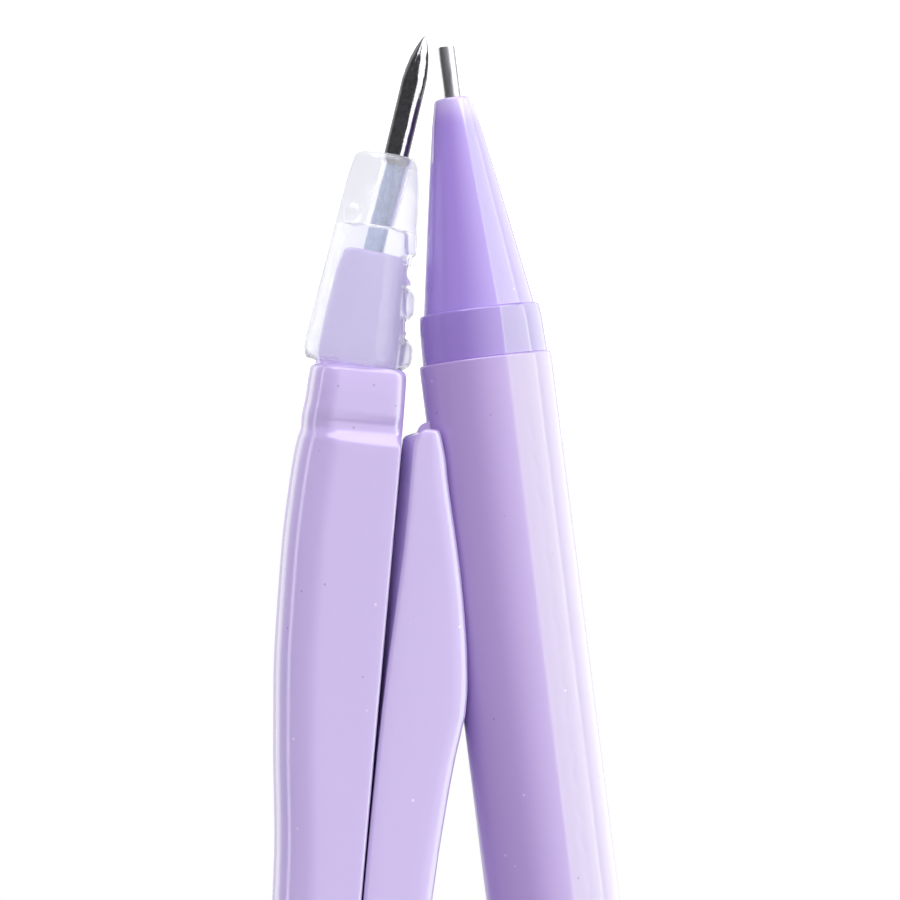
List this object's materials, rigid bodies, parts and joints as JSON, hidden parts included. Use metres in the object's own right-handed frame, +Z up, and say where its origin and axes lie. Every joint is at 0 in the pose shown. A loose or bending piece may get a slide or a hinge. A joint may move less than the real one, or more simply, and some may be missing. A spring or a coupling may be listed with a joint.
{
  "type": "drawing compass",
  "caption": "Plastic drawing compass, closed: geared hinged legs under a ribbed handle, a needle in a clear holder, and a tilting mechanical pencil with a push cap.",
  "frame": {"origin": "the needle's point, with the compass closed and held upright", "axes": "+Z up along the compass to its handle; the legs lie in the XZ plane, needle leg on +X and pencil leg on -X; -Y is the front"},
  "size_m": [0.0382, 0.0114, 0.1409],
  "materials": {
    "body_plastic": "pastel lilac moulded ABS, semi-gloss with soft highlights",
    "barrel_plastic": "pinkish lilac moulded barrel, glossy",
    "cone_plastic": "deeper violet moulded plastic, glossy",
    "clear_plastic": "frosted clear moulded plastic",
    "needle_steel": "polished steel",
    "sleeve_steel": "polished steel tube",
    "pin_steel": "plain steel",
    "screw_steel": "nickel-plated steel",
    "brass": "turned brass",
    "spring_steel": "spring wire",
    "washer_nylon": "natural nylon",
    "rubber": "soft black rubber",
    "eraser_rubber": "white eraser",
    "tube_plastic": "translucent white tube",
    "graphite": "graphite lead"
  },
  "bodies": {
    "head": {"head_front_cover": "body_plastic", "head_back_cover": "body_plastic", "handle": "body_plastic", "handle_cap": "cone_plastic", "handle_cross_pin": "pin_steel", "needle_hinge_screw": "screw_steel", "pencil_hinge_screw": "screw_steel", "needle_hinge_nut": "screw_steel", "pencil_hinge_nut": "screw_steel", "friction_washers": "washer_nylon"},
    "needle_arm": {"needle_leg": "body_plastic", "needle_holder": "clear_plastic", "needle": "needle_steel"},
    "pencil_arm": {"pencil_leg": "body_plastic", "pencil_pivot_pin": "pin_steel"},
    "pencil": {"pencil_barrel": "barrel_plastic", "collar_ring": "cone_plastic", "nose_cone": "cone_plastic", "lead_sleeve": "sleeve_steel", "lead_retainer": "rubber", "clutch_ring": "brass", "chuck_spring": "spring_steel"},
    "plunger": {"push_cap": "cone_plastic", "eraser": "eraser_rubber", "lead_tube": "tube_plastic", "chuck": "brass", "lead": "graphite", "spare_leads": "graphite"}
  },
  "joints": [
    {"name": "pencil_leg_swing", "type": "hinge", "parent": "head", "child": "pencil_arm", "pos_m": [-0.00622, 0, 0.109], "axis": [0, 1, 0], "range_deg": [0, 45]},
    {"name": "needle_leg_swing", "type": "hinge", "parent": "head", "child": "needle_arm", "pos_m": [0.00418, 0, 0.109], "axis": [0, 1, 0], "range_deg": [-45, 0]},
    {"name": "pencil_tilt", "type": "hinge", "parent": "pencil_arm", "child": "pencil", "pos_m": [-0.00245, 0, 0.026], "axis": [0, -1, 0], "range_deg": [0, 31.5]},
    {"name": "push_cap_press", "type": "slide", "parent": "pencil", "child": "plunger", "axis": [0.2122, 0, -0.9772], "range_m": [0, 0.003], "stiffness_N_per_m": 900, "springref_m": -0.0015, "deforming": ["chuck_spring"]}
  ],
  "couplings": [
    {"joint": "needle_leg_swing", "follows": "pencil_leg_swing", "ratio": -1},
    {"joint": "pencil_tilt", "follows": "pencil_leg_swing", "ratio": 0.7}
  ]
}
